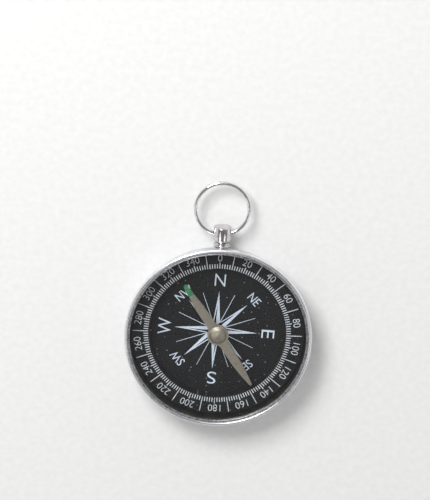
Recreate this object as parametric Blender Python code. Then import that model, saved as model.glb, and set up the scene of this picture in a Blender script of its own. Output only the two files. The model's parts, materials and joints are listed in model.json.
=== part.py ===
"""Keychain compass: a lidless pocket compass with a crown knob and a bow ring.

Metres. +Z points out of the dial, +Y to the crown at 12 o'clock and +X to 3 o'clock.
The origin is the centre of the flat back. The needle turns on a pin, and the bow swings in the knob.
"""
import bpy
import bmesh
from math import asin, atan2, cos, degrees, pi, radians, sin, sqrt
from mathutils import Matrix, Vector

MM = 0.001

# Clearances
SEAT_GAP = 0.1 * MM
CRIMP_GAP = 0.05 * MM
PRESS_GAP = 0.04 * MM
PIVOT_GAP = 0.05 * MM
NEEDLE_HEADROOM = 0.45 * MM
STEM_HEADROOM = 0.25 * MM
BOW_PLAY = 0.12 * MM

# Case cup, drawn from sheet
CASE_DIAMETER = 45.0 * MM
CUP_SHEET = 0.4 * MM
CUP_CORNER_RADIUS = 3.5 * MM
CUP_FLANGE_WIDTH = 0.55 * MM
CUP_FLANGE_FILLET = 0.2 * MM

# Bezel ring, rolled over the cup's flange and the lens
BEZEL_SHEET = 0.35 * MM
BEZEL_FOOT_RADIUS = 0.6 * MM
BEZEL_SHOULDER_WIDTH = 0.4 * MM
BEZEL_CROWN_WIDTH = 0.65 * MM
BEZEL_CROWN_HEIGHT = 0.5 * MM
BEZEL_VALLEY_WIDTH = 0.38 * MM
BEZEL_VALLEY_HEIGHT = 0.24 * MM
BEZEL_BEAD_WIDTH = 0.3 * MM
BEZEL_BEAD_HEIGHT = 0.34 * MM
LENS_THICKNESS = 0.6 * MM
LENS_BEVEL = 0.12 * MM

# Dial
CARD_THICKNESS = 0.5 * MM
CARD_EDGE = 0.1 * MM
RING_RISE = 2.15 * MM
RING_WIDTH = 4.4 * MM
RING_WALL = 0.4 * MM
RING_EDGE = 0.08 * MM
RING_TO_CUP = 0.35 * MM

# Pivot
BASE_FLANGE_RADIUS = 3.0 * MM
BASE_FLANGE_THICKNESS = 0.5 * MM
BASE_BOSS_RADIUS = 1.0 * MM
BASE_BOSS_HEIGHT = 1.4 * MM
BASE_CHAMFER = 0.2 * MM
PIN_RADIUS = 0.35 * MM
PIN_POINT_LENGTH = 1.3 * MM
PIN_POINT_RADIUS = 0.04 * MM

# Needle, stamped from sheet: distances run along the arm from the hub's centre
NEEDLE_SHEET = 0.35 * MM
NEEDLE_RISE = 3.4 * MM
NEEDLE_HEADING = radians(34.3)
HUB_RADIUS = 2.58 * MM
DOME_RADIUS = 2.1 * MM
DOME_HEIGHT = 0.8 * MM
NIPPLE_RADIUS = 0.3 * MM
NIPPLE_HEIGHT = 0.08 * MM
ARM_WIDTH = 2.2 * MM
ARM_WIDEST_TO = 7.6 * MM
ARM_SHOULDER_AT = 9.4 * MM
ARM_SHOULDER_WIDTH = 1.94 * MM
NORTH_LENGTH = 15.0 * MM
NORTH_TIP_WIDTH = 1.1 * MM
NORTH_POINT_LENGTH = 1.8 * MM
SOUTH_LENGTH = 15.2 * MM
SOUTH_TIP_WIDTH = 0.76 * MM
SOUTH_POINT_LENGTH = 0.8 * MM
BEARING_FLANGE_RADIUS = 2.3 * MM
BEARING_FLANGE_THICKNESS = 0.25 * MM
BEARING_BOSS_RADIUS = 0.9 * MM
RECESS_RADIUS = 0.6 * MM
RECESS_DEPTH = 0.7 * MM

# Stem, washer and rivet: lengths run outwards from the cup's wall
RIVET_RADIUS = 0.7 * MM
RIVET_HEAD_RADIUS = 1.2 * MM
RIVET_HEAD_THICKNESS = 0.25 * MM
WASHER_RADIUS = 2.05 * MM
WASHER_THICKNESS = 0.4 * MM
STEM_FLANGE_RADIUS = 2.05 * MM
STEM_FLANGE_THICKNESS = 0.6 * MM
COLLAR_ROUNDING = 0.2 * MM
STEM_NECK_RADIUS = 1.65 * MM
STEM_NECK_LENGTH = 0.4 * MM
STEM_BORE_DEPTH = 1.3 * MM
SPIGOT_RADIUS = 0.95 * MM
SPIGOT_LENGTH = 0.8 * MM

# Crown knob
KNOB_RADIUS = 2.1 * MM
KNOB_FOOT_RADIUS = 1.7 * MM
KNOB_SHOULDER_HEIGHT = 0.5 * MM
KNOB_BARREL_HEIGHT = 3.15 * MM
KNOB_DOME_HEIGHT = 0.35 * MM
KNOB_HOLE_HEIGHT = 1.95 * MM

# Bow ring, bent from round wire. It droops from the dial's plane and leans to 9 o'clock in its loose hole.
BOW_WIRE_RADIUS = 0.5 * MM
BOW_RADIUS = 6.4 * MM
BOW_END_GAP = 0.3 * MM
BOW_DROOP = radians(1.5)
BOW_LEAN = radians(2.5)

# Facets round a full turn
CASE_FACETS = 72
STEM_FACETS = 32
PIVOT_FACETS = 24
WIRE_FACETS = 10
BOW_STEPS = 60
DOME_FACETS = 32
DOME_RINGS = 5

# Radii that follow from the sizes above
CASE_RADIUS = CASE_DIAMETER / 2
FLANGE_RADIUS = CASE_RADIUS - BEZEL_SHEET - CRIMP_GAP
CUP_RADIUS = FLANGE_RADIUS - CUP_FLANGE_WIDTH
CUP_INSIDE = CUP_RADIUS - CUP_SHEET
WINDOW_RADIUS = CASE_RADIUS - BEZEL_CROWN_WIDTH - BEZEL_VALLEY_WIDTH - BEZEL_BEAD_WIDTH
RING_RADIUS = CUP_INSIDE - RING_TO_CUP
RING_BORE = RING_RADIUS - RING_WIDTH

# Heights that follow, from the back upwards
BASE_Z = CUP_SHEET + SEAT_GAP
CARD_Z = BASE_Z + BASE_FLANGE_THICKNESS + SEAT_GAP
CARD_TOP = CARD_Z + CARD_THICKNESS
RING_TOP = CARD_TOP + RING_RISE
NEEDLE_Z = CARD_TOP + NEEDLE_RISE
NEEDLE_TOP = NEEDLE_Z + NEEDLE_SHEET
BEARING_Z = NEEDLE_Z - SEAT_GAP - BEARING_FLANGE_THICKNESS
RECESS_TOP = BEARING_Z + RECESS_DEPTH
PIN_TOP = RECESS_TOP - PIVOT_GAP
LENS_Z = NEEDLE_TOP + DOME_HEIGHT + NIPPLE_HEIGHT + NEEDLE_HEADROOM
LENS_TOP = LENS_Z + LENS_THICKNESS
CUP_TOP = LENS_Z - CRIMP_GAP
FLANGE_Z = CUP_TOP - CUP_SHEET
BEZEL_Z = FLANGE_Z - CRIMP_GAP - BEZEL_SHEET
BEZEL_LIP_Z = LENS_TOP + CRIMP_GAP

# The stem's line and the bow's hinge
STEM_Z = BEZEL_Z - STEM_HEADROOM - max(STEM_FLANGE_RADIUS, WASHER_RADIUS)
WASHER_Y = CUP_RADIUS + SEAT_GAP
STEM_Y = WASHER_Y + WASHER_THICKNESS + SEAT_GAP
KNOB_Y = STEM_Y + STEM_FLANGE_THICKNESS + STEM_NECK_LENGTH + SEAT_GAP
BOW_Y = KNOB_Y + KNOB_HOLE_HEIGHT
BOW_SAGITTA = BOW_RADIUS - sqrt(BOW_RADIUS ** 2 - KNOB_RADIUS ** 2)
BOW_OFFSET = BOW_RADIUS - BOW_SAGITTA / 2
BOW_HOLE_RADIUS = BOW_WIRE_RADIUS + BOW_SAGITTA / 2 + KNOB_RADIUS * sin(BOW_LEAN) + BOW_PLAY


def inside_radius(z):
    """Radius of the cup's inner surface at height z, on its rounded corner and its wall."""
    rise = min(CUP_CORNER_RADIUS - z, CUP_CORNER_RADIUS - CUP_SHEET)
    if rise <= 0:
        return CUP_INSIDE
    corner = CUP_CORNER_RADIUS - CUP_SHEET
    return CUP_RADIUS - CUP_CORNER_RADIUS + sqrt(corner ** 2 - rise ** 2)


def inside_height(radius):
    """Height at which the cup's rounded corner has this inner radius."""
    corner = CUP_CORNER_RADIUS - CUP_SHEET
    reach = radius - (CUP_RADIUS - CUP_CORNER_RADIUS)
    return CUP_CORNER_RADIUS - sqrt(max(corner ** 2 - reach ** 2, 0))


def clear_scene():
    for obj in list(bpy.data.objects):
        bpy.data.objects.remove(obj, do_unlink=True)


def principled(name, colour, metallic, roughness, transmission=0.0):
    material = bpy.data.materials.new(name)
    material.use_nodes = True
    shader = material.node_tree.nodes["Principled BSDF"]
    shader.inputs["Base Color"].default_value = (*colour, 1)
    shader.inputs["Metallic"].default_value = metallic
    shader.inputs["Roughness"].default_value = roughness
    shader.inputs["Transmission Weight"].default_value = transmission
    return material


def empty(name, location, rotation):
    obj = bpy.data.objects.new(name, None)
    obj.location = location
    obj.rotation_euler = rotation
    bpy.context.collection.objects.link(obj)
    return obj


def mesh_object(name, bm, material=None, parent=None, location=(0, 0, 0)):
    """Turn a bmesh into a named object with smooth round faces and sharp edges."""
    bmesh.ops.remove_doubles(bm, verts=bm.verts, dist=1e-7)
    bmesh.ops.recalc_face_normals(bm, faces=bm.faces)
    mesh = bpy.data.meshes.new(name)
    bm.to_mesh(mesh)
    bm.free()
    mesh.shade_smooth()
    mesh.set_sharp_from_angle(angle=radians(35))
    if material:
        mesh.materials.append(material)
    obj = bpy.data.objects.new(name, mesh)
    obj.location = location
    obj.parent = parent
    bpy.context.collection.objects.link(obj)
    return obj


def arc(centre, radii, start, end, steps):
    """Points of an elliptical arc in the (radius, height) plane, from start to end in degrees."""
    points = []
    for i in range(steps + 1):
        angle = radians(start + (end - start) * i / steps)
        points.append((centre[0] + radii[0] * cos(angle), centre[1] + radii[1] * sin(angle)))
    return points


def turned(name, outline, facets, material, parent=None, location=(0, 0, 0), closed=True):
    """Spin an outline of (radius, height) points about the object's own Z axis."""
    bm = bmesh.new()
    verts = [bm.verts.new((r, 0, z)) for r, z in outline]
    edges = [bm.edges.new(pair) for pair in zip(verts, verts[1:])]
    if closed:
        edges.append(bm.edges.new((verts[-1], verts[0])))
    bmesh.ops.spin(
        bm, geom=verts + edges, cent=(0, 0, 0), axis=(0, 0, 1), angle=2 * pi, steps=facets, use_merge=True
    )
    return mesh_object(name, bm, material, parent, location)


def cut(obj, name, bm, parent=None, location=(0, 0, 0)):
    """Subtract a cutter from an object, and keep the cutter as a hidden guide."""
    cutter = mesh_object(name, bm, None, parent, location)
    cutter.hide_render = True
    cutter.display_type = "WIRE"
    modifier = obj.modifiers.new(name, "BOOLEAN")
    modifier.operation = "DIFFERENCE"
    modifier.solver = "EXACT"
    modifier.object = cutter


def rod(radius, start, end, facets, axis):
    """A cylinder for cutting, along X or Y, from start to end on that axis."""
    bm = bmesh.new()
    turn = Matrix.Rotation(pi / 2, 4, "Y") if axis == "X" else Matrix.Rotation(-pi / 2, 4, "X")
    middle = (start + end) / 2
    place = Matrix.Translation((middle, 0, 0) if axis == "X" else (0, middle, 0))
    bmesh.ops.create_cone(
        bm, cap_ends=True, segments=facets, radius1=radius, radius2=radius, depth=end - start, matrix=place @ turn
    )
    return bm


def make_case_cup(material):
    centre_r = CUP_RADIUS - CUP_CORNER_RADIUS
    corner = CUP_CORNER_RADIUS - CUP_SHEET
    outline = [(0, 0)]
    outline += arc((centre_r, CUP_CORNER_RADIUS), (CUP_CORNER_RADIUS,) * 2, -90, 0, 7)
    fillet = (CUP_RADIUS + CUP_FLANGE_FILLET, FLANGE_Z - CUP_FLANGE_FILLET)
    outline += arc(fillet, (CUP_FLANGE_FILLET,) * 2, 180, 90, 2)
    outline += [(FLANGE_RADIUS, FLANGE_Z), (FLANGE_RADIUS, CUP_TOP)]
    bend = (CUP_INSIDE + CUP_FLANGE_FILLET, CUP_TOP - CUP_FLANGE_FILLET)
    outline += arc(bend, (CUP_FLANGE_FILLET,) * 2, 90, 180, 2)
    outline += arc((centre_r, CUP_CORNER_RADIUS), (corner,) * 2, 0, -90, 7)
    outline += [(0, CUP_SHEET)]
    cup = turned("case_cup", outline, CASE_FACETS, material, closed=False)
    hole = rod(RIVET_RADIUS + SEAT_GAP, CUP_INSIDE - CUP_CORNER_RADIUS, CASE_RADIUS, PIVOT_FACETS, "Y")
    cut(cup, "rivet_hole_cutter", hole, location=(0, 0, STEM_Z))


def make_bezel_ring(material):
    """A channel that grips flange and lens, with a round crown, a valley and a bead above."""
    foot = (CASE_RADIUS - BEZEL_FOOT_RADIUS, BEZEL_Z + BEZEL_FOOT_RADIUS)
    shoulder = (CASE_RADIUS - BEZEL_SHOULDER_WIDTH, BEZEL_LIP_Z)
    valley_outer = CASE_RADIUS - BEZEL_CROWN_WIDTH
    valley_inner = valley_outer - BEZEL_VALLEY_WIDTH
    valley_z = BEZEL_LIP_Z + BEZEL_VALLEY_HEIGHT
    bead_radii = (BEZEL_BEAD_WIDTH / 2, BEZEL_BEAD_HEIGHT - BEZEL_VALLEY_HEIGHT)
    lip_radius = CUP_RADIUS + CUP_FLANGE_FILLET + CRIMP_GAP
    channel = CASE_RADIUS - BEZEL_SHEET
    outline = [(lip_radius, BEZEL_Z + BEZEL_SHEET), (lip_radius, BEZEL_Z)]
    outline += arc(foot, (BEZEL_FOOT_RADIUS,) * 2, -90, 0, 4)
    outline += arc(shoulder, (BEZEL_SHOULDER_WIDTH, BEZEL_CROWN_HEIGHT), 0, 100, 5)
    outline += [(valley_outer, valley_z), (valley_inner, valley_z)]
    outline += arc((WINDOW_RADIUS + bead_radii[0], valley_z), bead_radii, 45, 180, 3)
    outline += [(WINDOW_RADIUS, BEZEL_LIP_Z), (channel, BEZEL_LIP_Z), (channel, BEZEL_Z + BEZEL_SHEET)]
    turned("bezel_ring", outline, CASE_FACETS, material)


def make_lens(material):
    radius = FLANGE_RADIUS
    outline = [
        (0, LENS_Z),
        (radius, LENS_Z),
        (radius, LENS_TOP - LENS_BEVEL),
        (radius - LENS_BEVEL, LENS_TOP),
        (0, LENS_TOP),
    ]
    turned("lens", outline, CASE_FACETS, material, closed=False)


def make_dial_card(material):
    """A flat disc whose edge rests on the cup's rounded corner and its middle on the pivot base."""
    radius = inside_radius(CARD_Z) - SEAT_GAP
    hole = BASE_BOSS_RADIUS + SEAT_GAP
    outline = [
        (hole, CARD_Z),
        (radius, CARD_Z),
        (radius, CARD_TOP - CARD_EDGE),
        (radius - CARD_EDGE, CARD_TOP),
        (hole, CARD_TOP),
    ]
    turned("dial_card", outline, CASE_FACETS, material)


def make_degree_ring(material):
    """A raised channel: its inner leg stands on the card, its outer leg on the cup's corner."""
    inner_foot = CARD_TOP + SEAT_GAP
    outer_foot = inside_height(RING_RADIUS + SEAT_GAP)
    outline = [
        (RING_BORE, inner_foot),
        (RING_BORE + RING_WALL, inner_foot),
        (RING_BORE + RING_WALL, RING_TOP - RING_WALL),
        (RING_RADIUS - RING_WALL, RING_TOP - RING_WALL),
        (RING_RADIUS - RING_WALL, outer_foot),
        (RING_RADIUS, outer_foot),
        (RING_RADIUS, RING_TOP - RING_EDGE),
        (RING_RADIUS - RING_EDGE, RING_TOP),
        (RING_BORE + RING_EDGE, RING_TOP),
        (RING_BORE, RING_TOP - RING_EDGE),
    ]
    ring = turned("degree_ring", outline, CASE_FACETS, material)
    notch_y = rivet_head_face() - RIVET_HEAD_THICKNESS - CRIMP_GAP
    depth = CASE_RADIUS - notch_y
    size = (2 * (RIVET_HEAD_RADIUS + 2 * SEAT_GAP), depth, 2 * RING_TOP)
    bm = bmesh.new()
    place = Matrix.Translation((0, notch_y + depth / 2, RING_TOP)) @ Matrix.Diagonal((*size, 1))
    bmesh.ops.create_cube(bm, size=1, matrix=place)
    cut(ring, "rivet_notch_cutter", bm)


def make_pivot_base(material):
    bore = PIN_RADIUS + PRESS_GAP
    top = BASE_Z + BASE_FLANGE_THICKNESS + BASE_BOSS_HEIGHT
    outline = [
        (bore, BASE_Z),
        (BASE_FLANGE_RADIUS, BASE_Z),
        (BASE_FLANGE_RADIUS, BASE_Z + BASE_FLANGE_THICKNESS),
        (BASE_BOSS_RADIUS, BASE_Z + BASE_FLANGE_THICKNESS),
        (BASE_BOSS_RADIUS, top - BASE_CHAMFER),
        (BASE_BOSS_RADIUS - BASE_CHAMFER, top),
        (bore, top),
    ]
    turned("pivot_base", outline, PIVOT_FACETS, material)


def make_pivot_pin(material):
    outline = [
        (0, BASE_Z),
        (PIN_RADIUS, BASE_Z),
        (PIN_RADIUS, PIN_TOP - PIN_POINT_LENGTH),
        (PIN_POINT_RADIUS, PIN_TOP - PIN_POINT_RADIUS),
        (0, PIN_TOP),
    ]
    turned("pivot_pin", outline, PIVOT_FACETS, material, closed=False)


def smooth_edge(stations, steps):
    """A curve through the arm's (distance, half width) stations, with no overshoot at its flats."""
    points = []
    for i in range(len(stations) - 1):
        (r0, w0), (r1, w1) = stations[i], stations[i + 1]
        before = stations[i - 1] if i else stations[i]
        after = stations[i + 2] if i + 2 < len(stations) else stations[i + 1]
        flat_start = (w1 - w0) * (w0 - before[1]) <= 0
        flat_end = (after[1] - w1) * (w1 - w0) <= 0
        slope_start = 0 if flat_start else (w1 - before[1]) / (r1 - before[0])
        slope_end = 0 if flat_end else (after[1] - w0) / (after[0] - r0)
        for k in range(steps):
            t = k / steps
            width = w0 * (1 + 2 * t) * (1 - t) ** 2 + w1 * t * t * (3 - 2 * t)
            width += (r1 - r0) * (slope_start * t * (1 - t) ** 2 - slope_end * t * t * (1 - t))
            points.append((r0 + (r1 - r0) * t, width))
    points.append(stations[-1])
    return points


def arm_edge(length, tip_width, point_length):
    """Half widths of one arm: straight from the hub, tapered, straight again, and half round at the tip."""
    root = sqrt(HUB_RADIUS ** 2 - (ARM_WIDTH / 2) ** 2)
    tip = tip_width / 2
    stations = [
        (ARM_WIDEST_TO, ARM_WIDTH / 2),
        (ARM_SHOULDER_AT, ARM_SHOULDER_WIDTH / 2),
        (length - point_length, tip),
    ]
    edge = [(root, ARM_WIDTH / 2)] + smooth_edge(stations, 4)
    for i in range(4):
        angle = pi / 2 * i / 4
        edge.append((length - tip + tip * sin(angle), tip * cos(angle)))
    return edge


def needle_outline():
    """The blade's outline, anticlockwise from the hub's right side, with north along +Y."""
    north = arm_edge(NORTH_LENGTH, NORTH_TIP_WIDTH, NORTH_POINT_LENGTH)
    south = arm_edge(SOUTH_LENGTH, SOUTH_TIP_WIDTH, SOUTH_POINT_LENGTH)
    side = degrees(atan2(sqrt(HUB_RADIUS ** 2 - (ARM_WIDTH / 2) ** 2), ARM_WIDTH / 2))
    right = arc((0, 0), (HUB_RADIUS,) * 2, -side, side, 8)[1:-1]
    left = arc((0, 0), (HUB_RADIUS,) * 2, 180 - side, 180 + side, 8)[1:-1]
    points = right + [(w, r) for r, w in north] + [(0, NORTH_LENGTH)] + [(-w, r) for r, w in reversed(north)]
    points += left + [(-w, -r) for r, w in south] + [(0, -SOUTH_LENGTH)] + [(w, -r) for r, w in reversed(south)]
    return points


def sheet_face(bm, outline, hole_radius, z):
    """One flat side of the blade, filled between its outline and the dome's circle."""
    outer = [bm.verts.new((x, y, z)) for x, y in outline]
    inner = []
    for i in range(DOME_FACETS):
        angle = 2 * pi * i / DOME_FACETS
        inner.append(bm.verts.new((hole_radius * cos(angle), hole_radius * sin(angle), z)))
    edges = []
    for loop in (outer, inner):
        edges += [bm.edges.new((a, b)) for a, b in zip(loop, loop[1:] + loop[:1])]
    bmesh.ops.triangle_fill(bm, use_beauty=True, edges=edges)
    return edges[:len(outer)], edges[len(outer):]


def raise_dome(bm, edges, profile, z):
    """Extrude the dome's circle ring by ring through (radius, height) points, and close it on top."""
    base = (edges[0].verts[0].co.xy).length
    for radius, height in profile:
        new = bmesh.ops.extrude_edge_only(bm, edges=edges)["geom"]
        verts = [v for v in new if isinstance(v, bmesh.types.BMVert)]
        edges = [e for e in new if isinstance(e, bmesh.types.BMEdge)]
        for v in verts:
            v.co = Vector((v.co.x * radius / base, v.co.y * radius / base, z + height))
        base = radius
    bmesh.ops.contextual_create(bm, geom=edges)


def make_needle(material, axis):
    """Flat blade and hub with a low dome, of one sheet thickness throughout."""
    ball = (DOME_RADIUS ** 2 + DOME_HEIGHT ** 2) / (2 * DOME_HEIGHT)
    drop = ball - DOME_HEIGHT
    inner_ball = ball - NEEDLE_SHEET
    inner_radius = sqrt(inner_ball ** 2 - (drop - NEEDLE_SHEET) ** 2)
    bm = bmesh.new()
    outline = needle_outline()
    below = NEEDLE_Z - PIN_TOP
    above = NEEDLE_TOP - PIN_TOP
    bottom_outer, bottom_inner = sheet_face(bm, outline, inner_radius, below)
    top_outer, top_inner = sheet_face(bm, outline, DOME_RADIUS, above)
    bmesh.ops.bridge_loops(bm, edges=bottom_outer + top_outer)
    top, under = [], []
    for i in range(1, DOME_RINGS):
        share = 1 - i / DOME_RINGS
        radius = NIPPLE_RADIUS + (DOME_RADIUS - NIPPLE_RADIUS) * share
        top.append((radius, sqrt(ball ** 2 - radius ** 2) - drop))
        radius = inner_radius * share
        under.append((radius, sqrt(inner_ball ** 2 - radius ** 2) - drop + NEEDLE_SHEET))
    top.append((NIPPLE_RADIUS, sqrt(ball ** 2 - NIPPLE_RADIUS ** 2) - drop))
    top.append((NIPPLE_RADIUS / 3, DOME_HEIGHT + NIPPLE_HEIGHT))
    raise_dome(bm, top_inner, top, above)
    raise_dome(bm, bottom_inner, under, below)
    mesh_object("needle", bm, material, axis)


def bearing_boss_top():
    """Height of the boss's top corner, a seat gap below the dome's inner surface."""
    ball = (DOME_RADIUS ** 2 + DOME_HEIGHT ** 2) / (2 * DOME_HEIGHT)
    centre = NEEDLE_TOP + DOME_HEIGHT - ball
    return centre + sqrt((ball - NEEDLE_SHEET) ** 2 - BEARING_BOSS_RADIUS ** 2) - SEAT_GAP


def make_needle_bearing(material, axis):
    outline = [
        (0, RECESS_TOP),
        (RECESS_RADIUS, BEARING_Z),
        (BEARING_FLANGE_RADIUS, BEARING_Z),
        (BEARING_FLANGE_RADIUS, BEARING_Z + BEARING_FLANGE_THICKNESS),
        (BEARING_BOSS_RADIUS, BEARING_Z + BEARING_FLANGE_THICKNESS),
        (BEARING_BOSS_RADIUS, bearing_boss_top()),
        (0, bearing_boss_top()),
    ]
    outline = [(r, z - PIN_TOP) for r, z in outline]
    turned("needle_bearing", outline, PIVOT_FACETS, material, axis, closed=False)


def rivet_head_face():
    """Distance from the case's axis to the rivet head's outer face, clear of the cup's corner."""
    return inside_radius(STEM_Z - RIVET_HEAD_RADIUS) - SEAT_GAP


def make_stem_rivet(material, axis):
    """The shank crosses wall and washer and ends in the stem's bore. Heights run from the wall."""
    face = rivet_head_face() - CUP_RADIUS
    end = STEM_Y + STEM_BORE_DEPTH - SEAT_GAP - CUP_RADIUS
    rounding = RIVET_HEAD_THICKNESS / 2
    outline = [(0, face - RIVET_HEAD_THICKNESS), (RIVET_HEAD_RADIUS - rounding, face - RIVET_HEAD_THICKNESS)]
    outline += [(RIVET_HEAD_RADIUS, face - rounding), (RIVET_HEAD_RADIUS, face), (RIVET_RADIUS, face)]
    outline += [(RIVET_RADIUS, end), (0, end)]
    turned("stem_rivet", outline, PIVOT_FACETS, material, axis, closed=False)


def make_stem_washer(material, axis):
    low = WASHER_Y - CUP_RADIUS
    high = low + WASHER_THICKNESS
    edge = WASHER_RADIUS - COLLAR_ROUNDING
    bore = RIVET_RADIUS + SEAT_GAP
    outline = [(bore, low), (WASHER_RADIUS, low)]
    outline += arc((edge, high - COLLAR_ROUNDING), (COLLAR_ROUNDING,) * 2, 0, 90, 3)
    outline += [(bore, high)]
    turned("stem_washer", outline, STEM_FACETS, material, axis)


def make_stem(material, axis):
    """Round-edged flange, neck and the spigot that the knob is pressed on, bored for the rivet."""
    low = STEM_Y - CUP_RADIUS
    high = low + STEM_FLANGE_THICKNESS
    neck_top = high + STEM_NECK_LENGTH
    spigot_top = neck_top + SPIGOT_LENGTH
    edge = STEM_FLANGE_RADIUS - COLLAR_ROUNDING
    bore = RIVET_RADIUS + PRESS_GAP
    outline = [(0, low + STEM_BORE_DEPTH), (bore, low + STEM_BORE_DEPTH), (bore, low)]
    outline += arc((edge, low + COLLAR_ROUNDING), (COLLAR_ROUNDING,) * 2, -90, 0, 3)
    outline += arc((edge, high - COLLAR_ROUNDING), (COLLAR_ROUNDING,) * 2, 0, 90, 3)
    outline += [(STEM_NECK_RADIUS, high), (STEM_NECK_RADIUS, neck_top)]
    outline += [(SPIGOT_RADIUS, neck_top), (SPIGOT_RADIUS, spigot_top), (0, spigot_top)]
    turned("stem", outline, STEM_FACETS, material, axis, closed=False)


def make_crown_knob(material, axis):
    """A round-shouldered barrel with a low domed cap and a cross hole for the bow."""
    low = KNOB_Y - CUP_RADIUS
    barrel = low + KNOB_SHOULDER_HEIGHT
    dome = barrel + KNOB_BARREL_HEIGHT
    bore = SPIGOT_RADIUS + PRESS_GAP
    bore_top = low + SPIGOT_LENGTH
    outline = [(0, bore_top), (bore, bore_top), (bore, low)]
    shoulder = (KNOB_RADIUS - KNOB_FOOT_RADIUS, KNOB_SHOULDER_HEIGHT)
    outline += arc((KNOB_FOOT_RADIUS, barrel), shoulder, -90, 0, 4)
    outline += arc((0, dome), (KNOB_RADIUS, KNOB_DOME_HEIGHT), 0, 90, 6)
    knob = turned("crown_knob", outline, STEM_FACETS, material, axis, closed=False)
    hole = rod(BOW_HOLE_RADIUS, -2 * KNOB_RADIUS, 2 * KNOB_RADIUS, PIVOT_FACETS, "X")
    cut(knob, "bow_hole_cutter", hole, axis, (0, 0, BOW_Y - CUP_RADIUS))


def make_bow_ring(material, axis):
    """Round wire bent to a circle. Its two ends meet inside the knob's cross hole."""
    half_gap = asin(BOW_END_GAP / 2 / BOW_RADIUS)
    bm = bmesh.new()
    start = Matrix.Translation((0, BOW_OFFSET, 0)) @ Matrix.Rotation(half_gap - pi / 2, 4, "Z")
    place = start @ Matrix.Translation((BOW_RADIUS, 0, 0)) @ Matrix.Rotation(pi / 2, 4, "X")
    circle = bmesh.ops.create_circle(bm, segments=WIRE_FACETS, radius=BOW_WIRE_RADIUS, matrix=place)
    bmesh.ops.spin(
        bm, geom=circle["verts"] + bm.edges[:], cent=(0, BOW_OFFSET, 0), axis=(0, 0, 1),
        angle=2 * (pi - half_gap), steps=BOW_STEPS
    )
    ends = [e for e in bm.edges if e.is_boundary]
    bmesh.ops.holes_fill(bm, edges=ends, sides=WIRE_FACETS)
    bmesh.ops.rotate(bm, cent=(0, 0, 0), matrix=Matrix.Rotation(BOW_LEAN, 3, "Z"), verts=bm.verts)
    mesh_object("bow_ring", bm, material, axis)


def build():
    clear_scene()
    aluminium = principled("satin aluminium", (0.74, 0.75, 0.76), 1.0, 0.3)
    nickel = principled("nickel plate", (0.78, 0.77, 0.74), 1.0, 0.12)
    acrylic = principled("clear acrylic", (0.95, 0.97, 0.97), 0.0, 0.03, 1.0)
    black = principled("black card", (0.022, 0.022, 0.025), 0.0, 0.5)
    brass = principled("brass", (0.72, 0.55, 0.25), 1.0, 0.3)
    pin_steel = principled("hardened steel", (0.5, 0.5, 0.5), 1.0, 0.25)
    needle_steel = principled("stamped steel", (0.27, 0.25, 0.2), 1.0, 0.35)

    make_case_cup(aluminium)
    make_bezel_ring(aluminium)
    make_lens(acrylic)
    make_dial_card(black)
    make_degree_ring(black)
    make_pivot_base(brass)
    make_pivot_pin(pin_steel)

    needle_axis = empty("needle_axis", (0, 0, PIN_TOP), (0, 0, NEEDLE_HEADING))
    make_needle(needle_steel, needle_axis)
    make_needle_bearing(brass, needle_axis)

    stem_axis = empty("stem_axis", (0, CUP_RADIUS, STEM_Z), (-pi / 2, 0, 0))
    make_stem_rivet(aluminium, stem_axis)
    make_stem_washer(nickel, stem_axis)
    make_stem(nickel, stem_axis)
    make_crown_knob(nickel, stem_axis)

    bow_axis = empty("bow_axis", (0, BOW_Y, STEM_Z), (-BOW_DROOP, 0, 0))
    make_bow_ring(nickel, bow_axis)


build()
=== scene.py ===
"""Keychain compass: the looks of a lidless pocket compass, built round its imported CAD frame.

Metres, in the CAD's frame: +Z out of the dial, +Y to the crown at 12 o'clock, +X to 3 o'clock.
Sizes below are in millimetres and are turned to metres by MM, except the lamps' and the floor's.
"""
import json
from math import atan, cos, pi, radians, sin, sqrt, tan

import bmesh
import bpy
from mathutils import Matrix, Vector
from mathutils.geometry import interpolate_bezier


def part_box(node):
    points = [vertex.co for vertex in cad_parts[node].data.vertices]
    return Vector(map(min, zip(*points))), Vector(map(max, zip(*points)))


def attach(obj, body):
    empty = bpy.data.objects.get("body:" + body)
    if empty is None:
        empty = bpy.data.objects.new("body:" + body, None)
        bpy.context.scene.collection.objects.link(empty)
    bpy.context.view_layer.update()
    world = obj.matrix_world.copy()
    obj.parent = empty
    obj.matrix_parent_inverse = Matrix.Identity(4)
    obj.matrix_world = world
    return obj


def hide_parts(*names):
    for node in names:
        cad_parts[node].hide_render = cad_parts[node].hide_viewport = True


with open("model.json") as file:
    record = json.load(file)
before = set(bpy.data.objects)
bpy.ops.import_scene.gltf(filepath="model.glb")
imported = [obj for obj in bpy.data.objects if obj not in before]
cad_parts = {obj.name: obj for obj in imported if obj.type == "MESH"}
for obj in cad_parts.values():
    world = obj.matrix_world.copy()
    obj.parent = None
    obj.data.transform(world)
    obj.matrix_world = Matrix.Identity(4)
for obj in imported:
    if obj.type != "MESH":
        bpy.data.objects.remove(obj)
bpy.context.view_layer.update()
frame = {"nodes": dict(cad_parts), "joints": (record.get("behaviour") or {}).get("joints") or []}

MM = 0.001
WELD = 0.0005 * MM
SHARP_EDGE = radians(38)


def extent(name):
    """A CAD node's lowest and highest corners, in mm."""
    return [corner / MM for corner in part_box(name)]


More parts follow.
